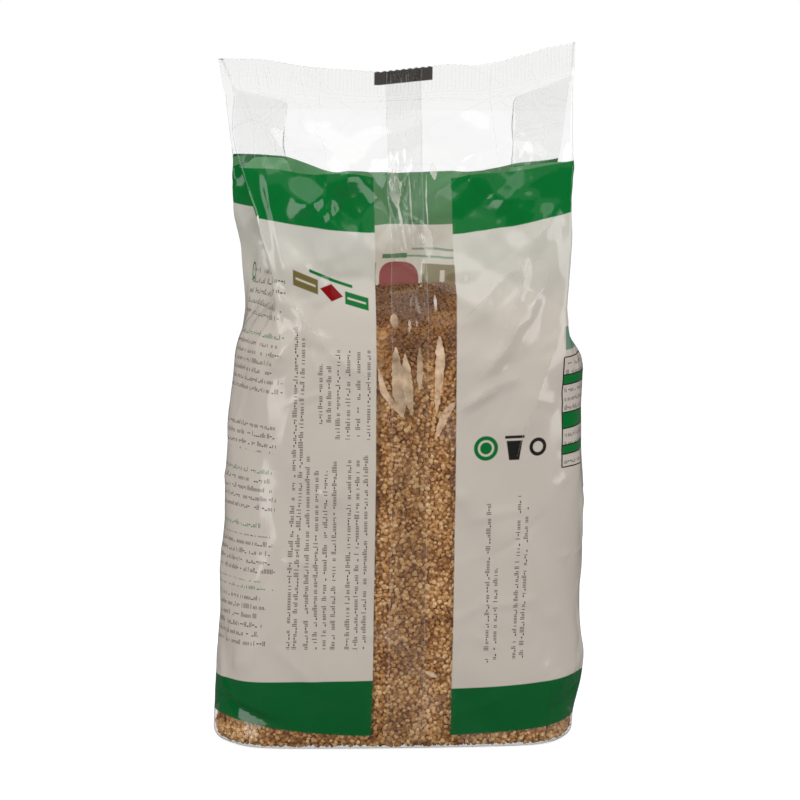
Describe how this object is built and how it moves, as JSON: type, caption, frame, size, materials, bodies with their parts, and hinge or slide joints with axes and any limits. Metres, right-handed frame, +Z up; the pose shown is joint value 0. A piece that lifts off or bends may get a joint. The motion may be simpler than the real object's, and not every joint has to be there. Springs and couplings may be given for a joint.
{
  "type": "bag of brown sugar",
  "caption": "Clear printed film bag full of coarse brown sugar, standing on its base, with tucked side gussets and an empty, flat crimped top.",
  "frame": {"origin": "on the flat base, under the middle of the sealed top", "axes": "+Z up along the bag's height, -Y out of the face with the back seal and the clear strip, +X to the right of that face"},
  "size_m": [0.1324, 0.0605, 0.2482],
  "materials": {
    "film": "glossy clear film printed off-white and green, thin and creased",
    "sugar": "coarse golden brown crystals, slightly translucent"
  },
  "bodies": {
    "root": {"pouch": "film"}
  },
  "joints": []
}
